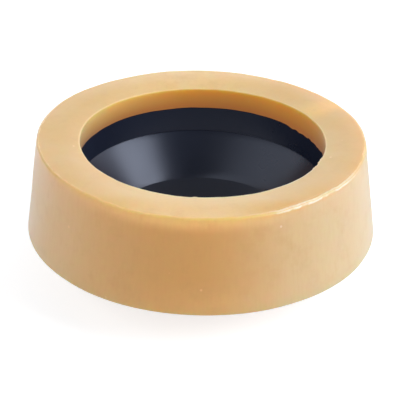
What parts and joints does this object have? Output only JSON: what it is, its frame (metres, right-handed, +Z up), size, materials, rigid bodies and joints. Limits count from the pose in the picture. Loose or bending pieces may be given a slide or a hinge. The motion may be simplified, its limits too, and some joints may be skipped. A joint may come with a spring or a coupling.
{
  "type": "toilet pan seal",
  "caption": "Thick flared ring of soft amber wax cast round a black plastic funnel sleeve; squeezed between a toilet pan and the floor flange to seal the outlet.",
  "frame": {"origin": "on the axis, at the lower end of the sleeve's neck, on which the seal stands; the wax's flat base is 15 mm above it", "axes": "+Z runs up the axis towards the pan; the seal is round, so X and Y are free"},
  "size_m": [0.1298, 0.1298, 0.0514],
  "materials": {
    "wax": "soft petroleum wax with a little bees wax, amber, cloudy, with a satin skin from the mould",
    "black_polyethylene": "injection-moulded, smooth and glossy, blue-black"
  },
  "bodies": {
    "root": {"wax_ring": "wax", "funnel_sleeve": "black_polyethylene"}
  },
  "joints": []
}
